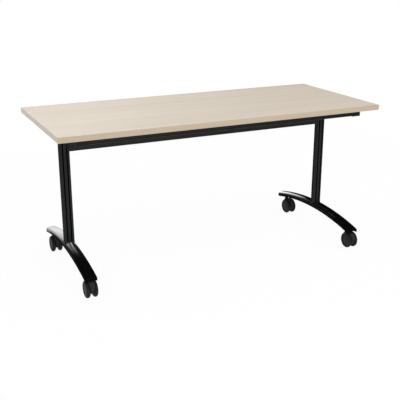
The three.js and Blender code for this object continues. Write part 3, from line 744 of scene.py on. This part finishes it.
# %% Ribs, bosses and seats of the feet
RIB = 0.003
RIB_PLACES = (0.090, 0.190)
RIB_SHY = 0.002
RIB_GAP = 0.0002
RIB_SHOULDER = 0.006
RIB_STEPS = 61
ROOF_GAP = 0.0004
BOSS = 0.013
BOSS_BORE = 0.0055
BOSS_EDGE = 0.0006
BOSS_SHY = 0.001
STEM_REACH = 0.295
SEAT_MARGIN = 0.0008
SEAT_DEPTH = 0.008
SEAT_STEPS = 16
caster_seat = float(lower_line(STEM_REACH))


def inner_roof(y):
    """Height of the shell's inside under the crown, less a small gap."""
    return crown_line(y) - (FOOT_WALL + ROOF_GAP)


def long_rib(name, centre_x):
    """Plate along the arch: a rectangle whose top and bottom follow the shell's two lines."""
    run = np.linspace(TIP_REACH - foot_half, foot_half - TIP_REACH, RIB_STEPS)
    foot, ridge = tip_line(run) + RIB_SHY, inner_roof(run)
    corner_x = centre_x + np.array([-1, 1, 1, -1]) * RIB / 2
    return lofted(name, corner_x, run[:, None], np.column_stack([foot, foot, ridge, ridge]))


def cross_rib(name, centre_x, y):
    """Plate across the hollow: a rectangle with a pitched top, one rib thick along Y."""
    inside = foot_width - FOOT_WALL - RIB_GAP
    foot, ridge = lower_line(y) + RIB_SHY, inner_roof(y)
    outline = np.array([
        [-inside, foot], [inside, foot], [inside, ridge - RIB_SHOULDER], [0.0, ridge],
        [-inside, ridge - RIB_SHOULDER]]) + [centre_x, 0.0]
    return swept(name, outline, 1, [y - RIB / 2, y + RIB / 2])


for side, hand in SIDES.items():
    centre = hand * leg_x
    dress(long_rib(f"foot_rib_{side}", centre), "base", gloss)
    for number, y in enumerate((*(-p for p in RIB_PLACES), *RIB_PLACES)):
        dress(cross_rib(f"foot_cross_rib_{side}_{number}", centre, y), "base", gloss)
    for end, way in ENDS.items():
        y = way * STEM_REACH
        roof = float(inner_roof(y)) - BOSS_SHY
        boss = turned(
            f"caster_boss_{end}_{side}", [BOSS_BORE, BOSS - BOSS_EDGE, BOSS, BOSS, BOSS_BORE],
            [caster_seat, caster_seat, caster_seat + BOSS_EDGE, roof, roof],
            (centre, y, 0.0), (0, 0, 1), ring=True, segments=48)
        dress(boss, "base", gloss)
    grown = np.array([half_width, half_depth]) + SEAT_MARGIN
    pad = rounded_outline(-grown, grown, COLUMN_CORNER + SEAT_MARGIN, SEAT_STEPS) + [centre, 0.0]
    seat = swept(f"column_seat_{side}", pad, 2, [crown_top - SEAT_DEPTH, crown_top + SEAT_RISE])
    dress(seat, "base", plastic)
print("caster seat at", round(caster_seat, 4), "m")

# %% [markdown]
# ## Release bar
# The strip under the front edge is rolled sheet: a flat face with a fine groove near its foot, a round
# lower corner and a short return that the fingers pull on.

# %% Release bar
BAR_SHEET = 0.003
BAR_EDGE = 0.0006
BAR_LIP = 0.0045
BAR_GROOVE = 0.0010
BAR_STEPS = 9


def arc(radius, start, end, steps):
    """Points on a circle about the origin, from one angle to another."""
    turn = np.linspace(start, end, steps)
    return radius * np.column_stack([np.cos(turn), np.sin(turn)])


def bar_outline(front, back, bottom, top):
    """Section in Y and Z: face with a V groove, a quarter circle below, the return, and back up inside."""
    bend = np.array([front + BAR_SHEET, bottom + BAR_SHEET])
    groove = bottom + BAR_LIP
    face = np.array([
        [front + BAR_SHEET, top], [front + BAR_EDGE, top], [front, top - BAR_EDGE],
        [front, groove + 2 * BAR_GROOVE], [front + BAR_GROOVE, groove + BAR_GROOVE], [front, groove]])
    inside = np.array([
        [back - BAR_EDGE, bottom], [back, bottom + BAR_EDGE], [back, bottom + BAR_SHEET - BAR_EDGE],
        [back - BAR_EDGE, bottom + BAR_SHEET], bend])
    return np.vstack([face, bend + arc(BAR_SHEET, np.pi, 1.5 * np.pi, BAR_STEPS), inside])


low, high = corners("release_bar")
bar = swept("release_strip", bar_outline(low[1], high[1], low[2], high[2]), 0, [low[0], high[0]])
dress(bar, "release", coated, ["release_bar"])
print("release bar", round(float(high[0] - low[0]), 3), "m long")

# %% [markdown]
# ## Casters
# A twin-wheel caster has a plastic neck that turns on its stem, a web between the wheels, a fender
# over them and two wheels with soft treads. Each is a profile: turned about the stem or the axle, or
# carried along an arc. The sizes come from the solids, so that the pieces turn clear of each other.

# %% Sizes of a caster
RUNNING = 0.0004
NECK = 0.011
wheel_low, wheel_high = corners("caster_wheel_front_left_inner")
axle_height = float(wheel_low[2] + wheel_high[2]) / 2
wheel_radius = axle_height - max(float(wheel_low[2]), 0.0)
wheel_width = float(wheel_high[0] - wheel_low[0])
wheel_clear = (wheel_high[1] - wheel_low[1]) / 2 + 2 * RUNNING
trail = abs(STEM_REACH - abs(float(wheel_low[1] + wheel_high[1]) / 2))
inner_face = abs(float(wheel_low[0]) + leg_x)
neck_floor = axle_height + math.sqrt(wheel_clear ** 2 - (trail - NECK) ** 2)
neck_top = float(corners("caster_hood_front_left")[1][2])
CASTERS = [(side, hand, end, way) for side, hand in SIDES.items() for end, way in ENDS.items()]
print("wheel radius", round(wheel_radius, 4), "trail", round(trail, 4), "inner face", round(inner_face, 4))

# %% Wheels
TREAD_STEPS = 33
INNER_SHOULDER, OUTER_SHOULDER = 1.8, 2.5
RIM = 0.72
RIM_LAP = 0.001
HUB_DOME, HUB_STEP, HUB_BACK = 0.52, (0.56, 0.60), 0.3
DOME_SINK, DOME_RISE, DOME_STEPS = 0.0026, 0.0012, 12
STEP_SINK, RIM_SINK = (0.0036, 0.0016), 0.0010
BACK_RIM, BACK_FACE = 0.001, 0.0005


def tread_profile():
    """Ring section: a flattened ellipse, |cos|^p across and |sin|^p outwards, closed at the disc. The
    shoulder next to the web is rounder than the outer one."""
    angle = np.linspace(np.pi, 0.0, TREAD_STEPS)
    shape = 2 / np.where(angle > np.pi / 2, INNER_SHOULDER, OUTER_SHOULDER)
    across = np.sign(np.cos(angle)) * np.abs(np.cos(angle)) ** shape
    out = np.abs(np.sin(angle)) ** shape
    rim = RIM * wheel_radius
    radius = rim + (wheel_radius - rim) * out
    along = wheel_width / 2 + (wheel_width / 2 - RUNNING) * across
    return np.concatenate([radius, [rim - RIM_LAP] * 2]), np.concatenate([along, along[[-1, 0]]])


def disc_profile():
    """Hub: from the axle out over a shallow dome, a ring step, round to the plain inner face."""
    dome = np.linspace(0.0, HUB_DOME, DOME_STEPS)
    face = wheel_width - DOME_SINK + DOME_RISE * np.cos(dome / HUB_DOME * np.pi / 2)
    step = wheel_width - np.array([*STEP_SINK, RIM_SINK])
    radius = np.concatenate([dome, HUB_STEP, [RIM, RIM, HUB_BACK, 0.0]]) * wheel_radius
    return radius, np.concatenate([face, step, [BACK_RIM, BACK_FACE, BACK_FACE]])


for side, hand, end, way in CASTERS:
    for which, facing in (("outer", hand), ("inner", -hand)):
        where = f"{end}_{side}_{which}"
        place = (hand * leg_x + facing * inner_face, way * STEM_REACH - trail, axle_height)
        hub = {"place": place, "axis": (facing, 0, 0), "segments": 96}
        ring = turned(f"tread_{where}", *tread_profile(), **hub, ring=True)
        dress(ring, f"wheel_{where}", tread)
        disc = turned(f"wheel_disc_{where}", *disc_profile(), **hub)
        dress(disc, f"wheel_{where}", plastic, [f"caster_wheel_{where}"])

# %% [markdown]
# The hood is moulded in one on the real caster. Here it is three simple shapes that overlap: a sleeve
# about the stem, a plate between the wheels, and a sheet bent over them that narrows to the front.

# %% Hoods: neck, web and fender
STEM_HOLE = 0.0054
NECK_WAIST, NECK_EDGE = 0.0012, 0.0008
WEB_REACH, WEB_FLOOR, WEB_LAP = 0.034, 0.028, 0.001
WEB_FRONT, WEB_REAR, WEB_SHOULDER = 0.62 * np.pi, 0.15 * np.pi, 0.62
FENDER_SHEET, FENDER_FILL, FENDER_CROWN = 0.003, 0.95, 0.0012
FENDER_HALF, FENDER_TAPER = 0.0165, 0.0095
FENDER_START, FENDER_END, TAPER_START = 0.26 * np.pi, 0.93 * np.pi, 0.45 * np.pi


def neck_profile():
    """Sleeve about the stem: a short foot, a straight neck and a rounded collar."""
    waist = NECK - NECK_WAIST
    radius = [STEM_HOLE, NECK, NECK, waist, waist, NECK, NECK, NECK - NECK_EDGE, STEM_HOLE]
    share = np.array([0.0, 0.0, 0.18, 0.30, 0.66, 0.78, 0.95, 1.0, 1.0])
    return radius, neck_floor + share * (neck_top - neck_floor)


def web_outline(axle_y):
    """Plate between the wheels, in Y and Z: a circle about the axle cut flat below, and a shoulder
    that runs up to the neck."""
    low_turn = math.asin((WEB_FLOOR - axle_height) / WEB_REACH)
    neck_back, neck_foot = trail + NECK - WEB_LAP, neck_floor + WEB_LAP - axle_height
    shoulder = np.array([
        [neck_back, WEB_REACH * WEB_SHOULDER], [neck_back, neck_foot],
        [trail - NECK, neck_foot], [0.0, wheel_clear + WEB_LAP]])
    front = arc(WEB_REACH, WEB_FRONT, np.pi - low_turn, 22)
    rear = arc(WEB_REACH, low_turn, WEB_REAR, 12)
    return np.vstack([front, rear, shoulder]) + [axle_y, axle_height]


def fender(name, centre_x, axle_y):
    """Sheet over the wheels: a rounded strip section carried along an arc about the axle, wide on top
    and tapering towards its front end."""
    turn = np.linspace(FENDER_START, FENDER_END, 48)
    share = np.clip((turn - TAPER_START) / (FENDER_END - TAPER_START), 0.0, 1.0)
    half = FENDER_HALF - FENDER_TAPER * share ** 1.5
    loop = rounded_outline((-1.0, -1.0), (1.0, 1.0), 0.6, 6)
    crown = FENDER_CROWN * (0.5 - loop[:, 0] ** 2)
    out = wheel_clear + FENDER_SHEET / 2 * (1 + FENDER_FILL * loop[:, 1]) + crown
    y = axle_y + out * np.cos(turn)[:, None]
    z = axle_height + out * np.sin(turn)[:, None]
    return lofted(name, centre_x + loop[:, 0] * half[:, None], y, z)


half_web = inner_face - RUNNING
for side, hand, end, way in CASTERS:
    x, y = hand * leg_x, way * STEM_REACH
    where, body = f"{end}_{side}", f"swivel_{end}_{side}"
    neck = turned(
        f"caster_neck_{where}", *neck_profile(), (x, y, 0.0), (0, 0, 1), segments=48, ring=True)
    dress(neck, body, hood_plastic, [f"caster_hood_{where}"])
    web = swept(f"caster_web_{where}", web_outline(y - trail), 0, [x - half_web, x + half_web])
    dress(web, body, hood_plastic)
    dress(fender(f"caster_fender_{where}", x, y - trail), body, hood_plastic)
print("neck from", round(neck_floor, 4), "to", round(neck_top, 4), "m")

# %% [markdown]
# ## Screws
# The arms are held to the board by pan-head screws inside their channels. The hinge brackets and the
# lock housings have flat heads, which leave room for the head of the column to swing past. A head is a
# profile turned about the screw, with a sunk drive.

# %% Screw heads
ARM_WALL = 0.0025
WEB_THICK = 0.004
PAN_PLACES = (-0.230, -0.160, 0.090, 0.180)
FLAT_PLACES = (-0.100, -0.066, -0.025, 0.025)
PAN_RADIUS = np.array([0.0, 1.3, 1.6, 3.0, 4.0, 4.6, 4.7, 0.0]) / 1000
PAN_DROP = np.array([1.4, 1.4, 2.6, 2.5, 2.0, 1.1, 0.1, 0.1]) / 1000
FLAT_RADIUS = np.array([0.0, 1.3, 1.6, 3.4, 3.7, 0.0]) / 1000
FLAT_DROP = np.array([0.15, 0.15, 0.5, 0.45, 0.05, 0.05]) / 1000


def screw_head(name, radius, drop, place):
    """Profile turned about a line that points down from the seat: radius against drop."""
    head = turned(name, radius, drop, place, (0, 0, -1), segments=32)
    dress(head, "top", steel)


for side, hand in SIDES.items():
    arm_seat = float(corners(f"arm_{side}")[1][2]) - ARM_WALL
    web_seat = float(corners(f"hinge_bracket_{side}")[1][2]) - WEB_THICK
    for number, y in enumerate(PAN_PLACES):
        screw_head(f"arm_screw_{side}_{number}", PAN_RADIUS, PAN_DROP, (hand * leg_x, y, arm_seat))
    for number, y in enumerate(FLAT_PLACES):
        screw_head(f"web_screw_{side}_{number}", FLAT_RADIUS, FLAT_DROP, (hand * leg_x, y, web_seat))

# %% [markdown]
# ## The remaining solids
# Channels, brackets, pins, bolts and springs have their right shape already. A fine bevel takes the
# knife edge off the sheet and moulded pieces, and each gets the finish of its material.

# %% Finishes of the remaining solids
FINISH_OF = {
    "arm": matte_coat, "arm_cap": plastic, "hinge_bracket": coated, "column_head": coated,
    "pivot_bush_outer": nylon, "pivot_bush_inner": nylon, "pivot_pin": steel, "stop_pin": steel,
    "lock_housing": plastic, "lock_bolt": steel, "lock_spring": steel, "pull_rod": steel,
    "bar_end": plastic, "foot_bolt": steel, "caster_stem": dark_steel, "caster_axle": dark_steel,
}
BEVEL_OF = {
    "arm": 0.0006, "arm_cap": 0.0006, "hinge_bracket": 0.0005, "bar_end": 0.0004, "lock_housing": 0.0006,
}
SHARP = math.radians(50)


def round_edges(solid, width):
    """Joins the loose triangles of a solid and rounds its sharp edges, both by modifiers."""
    weld = solid.modifiers.new("weld", "WELD")
    weld.merge_threshold = WELD
    bevel = solid.modifiers.new("bevel", "BEVEL")
    bevel.width = width
    bevel.segments = 3
    bevel.limit_method = "ANGLE"
    bevel.angle_limit = SHARP


painted = 0
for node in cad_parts:
    kinds = [kind for kind in FINISH_OF if node.startswith(kind + "_")]
    if kinds:
        kind = max(kinds, key=len)
        solid = paint(node, FINISH_OF[kind])
        painted += 1
        if kind in BEVEL_OF:
            round_edges(solid, BEVEL_OF[kind])
print("solids painted:", painted)

# %% [markdown]
# ## Floor
# The photograph is a cut-out on white under soft light. The floor shows white to the camera and in
# reflections, and a small share of its plain surface is left in, which keeps a faint shadow.

# %% Floor
FLOOR_HALF = 2.4
FLOOR_GREY = (0.92, 0.92, 0.92, 1.0)
FLOOR_GLOW = 0.95
WHITE = (1.0, 1.0, 1.0, 1.0)


def mix_shaders(tree, factor, first, second):
    """The first shader where the factor is 0, the second where it is 1."""
    mix = add_node(tree, "ShaderNodeMixShader")
    for socket, source in zip(mix.inputs, (factor, first, second)):
        tree.links.new(source, socket)
    return mix.outputs["Shader"]


grid = np.linspace(-FLOOR_HALF, FLOOR_HALF, 3)
floor = surface("floor", np.stack(np.broadcast_arrays(grid[:, None], grid, 0.0), axis=-1))
floor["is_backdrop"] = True
floor_finish, tree, shader = new_finish(
    "floor", Roughness=0.9, Specular_IOR_Level=0.0, Base_Color=FLOOR_GREY)
paths = add_node(tree, "ShaderNodeLightPath").outputs
white = add_node(tree, "ShaderNodeEmission", {"Color": WHITE, "Strength": 1.0})
seen = arithmetic(tree, "MAXIMUM", paths["Is Camera Ray"], paths["Is Glossy Ray"])
seen = arithmetic(tree, "MAXIMUM", seen, paths["Is Transmission Ray"])
share = arithmetic(tree, "MULTIPLY", seen, FLOOR_GLOW)
shown = mix_shaders(tree, share, shader.outputs["BSDF"], white.outputs["Emission"])
tree.links.new(shown, tree.nodes["Material Output"].inputs["Surface"])
floor.data.materials.append(floor_finish)
print("floor", 2 * FLOOR_HALF, "m wide")

# %% [markdown]
# ## World
# The world is white to the camera and soft on dull surfaces. Polished black shows what surrounds it, so
# reflections see a studio: a bright wall that ends at both sides, stands higher in the middle and is
# brightest low down behind the table, and a dark ceiling. All of it is written over the direction of the
# ray, whose X, Y and Z run from -1 to 1.

# %% World
AMBIENT = 0.86
WALL = 1.7
CEILING = 0.05
WALL_LEFT, WALL_RIGHT = (-0.44, -0.34), (0.42, 0.50)
HIGH_LEFT, HIGH_RIGHT = (-0.30, -0.12), (0.33, 0.23)
WALL_TOP = {"From Min": (0.15, 0.44), "From Max": (0.28, 0.62)}
LOW_GLOW = 0.65
GLOW_FLOOR = 0.08
GLOW_LEFT, GLOW_RIGHT = (-0.20, 0.0), (0.38, 0.28)
GLOW_BEHIND, GLOW_RISE, GLOW_TOP = (0.5, 0.7), (0.0, 0.16), (0.46, 0.34)

world = bpy.data.worlds.new("studio")
bpy.context.scene.world = world
world.use_nodes = True
sky = world.node_tree
sky.nodes.clear()
direction = add_node(sky, "ShaderNodeTexCoord")
split = add_node(sky, "ShaderNodeSeparateXYZ")
sky.links.new(direction.outputs["Generated"], split.inputs["Vector"])


def step_in(axis, span, first=0.0, last=1.0):
    """A smooth step from the first value to the last, over a span of one axis."""
    step = add_node(
        sky, "ShaderNodeMapRange",
        {"From Min": span[0], "From Max": span[1], "To Min": first, "To Max": last},
        interpolation_type="SMOOTHSTEP")
    sky.links.new(split.outputs[axis], step.inputs["Value"])
    return step.outputs["Result"]


def product(first, *others):
    """The product of several values."""
    for other in others:
        first = arithmetic(sky, "MULTIPLY", first, other)
    return first


wall = step_in("Z", (0.0, 1.0), WALL, CEILING)
high_part = product(step_in("X", HIGH_LEFT), step_in("X", HIGH_RIGHT))
for socket, (beside, behind) in WALL_TOP.items():
    edge = add_node(sky, "ShaderNodeMapRange", {"To Min": beside, "To Max": behind})
    sky.links.new(high_part, edge.inputs["Value"])
    sky.links.new(edge.outputs["Result"], wall.node.inputs[socket])
wall_ends = product(step_in("X", WALL_RIGHT, 1.0, CEILING), step_in("X", WALL_LEFT, CEILING, 1.0))
glow = product(
    step_in("X", GLOW_LEFT), step_in("X", GLOW_RIGHT), step_in("Y", GLOW_BEHIND),
    step_in("Z", GLOW_RISE, GLOW_FLOOR, LOW_GLOW), step_in("Z", GLOW_TOP))
studio = product(wall, wall_ends, arithmetic(sky, "ADD", glow, 1.0))


def backdrop(strength=1.0):
    """White light from all round; a strength of 1 is plain white."""
    light = add_node(sky, "ShaderNodeBackground", {"Color": WHITE, "Strength": strength})
    return light.outputs["Background"]


mirrored = backdrop()
sky.links.new(studio, mirrored.node.inputs["Strength"])
rays = add_node(sky, "ShaderNodeLightPath").outputs
direct = arithmetic(sky, "MAXIMUM", rays["Is Camera Ray"], rays["Is Transmission Ray"])
lit = mix_shaders(sky, rays["Is Glossy Ray"], backdrop(AMBIENT), mirrored)
shown = mix_shaders(sky, direct, lit, backdrop())
sky.links.new(shown, add_node(sky, "ShaderNodeOutputWorld").inputs["Surface"])
print("world has", len(sky.nodes), "nodes")

# %% [markdown]
# ## Lamps
# A large softbox above the front gives the shapes their shading. A low strip lamp behind the right end
# is seen in reflections only: it draws the bright band along the right foot, and it stands below the
# plane of the top, so that the top doesn't show it.

# %% Lamps
SOFTBOX_PLACE = Vector((-0.7, -3.0, 4.4))
SOFTBOX_AIM = Vector((0.0, 0.0, 0.5))
SOFTBOX_SIZE = 3.0
SOFTBOX_WATTS = 62.0
STRIP_PLACE = Vector((0.90, 1.2, 0.46))
STRIP_WIDE, STRIP_HIGH = 0.60, 0.52
STRIP_GLOW = 2.2


def area_lamp(name, place, direction, wide, high, watts):
    """A rectangular lamp at a place that shines along a direction."""
    data = bpy.data.lights.new(name, "AREA")
    data.shape = "RECTANGLE"
    data.size, data.size_y = wide, high
    data.energy = watts
    lamp = add_object(name, data)
    aim(lamp, place, direction)
    return lamp


softbox = area_lamp(
    "softbox", SOFTBOX_PLACE, SOFTBOX_AIM - SOFTBOX_PLACE, SOFTBOX_SIZE, SOFTBOX_SIZE, SOFTBOX_WATTS)
softbox.visible_glossy = False
strip_watts = math.pi * STRIP_WIDE * STRIP_HIGH * STRIP_GLOW
strip = area_lamp("strip", STRIP_PLACE, Vector((0.0, -1.0, 0.0)), STRIP_WIDE, STRIP_HIGH, strip_watts)
strip.visible_diffuse = False
strip.visible_camera = False
bpy.context.scene.view_settings.view_transform = "Standard"
print("lamps", SOFTBOX_WATTS, "and", round(strip_watts, 2), "W")

# %% [markdown]
# ## Size and end
# The dressed table stays inside the box of its solids, but for the fenders of the front casters, which
# reach three millimetres further. The box of the dressed table is printed.

# %% Print the size of the dressed table
low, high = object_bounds()
print("visual box", [round(v, 4) for v in low], [round(v, 4) for v in high])
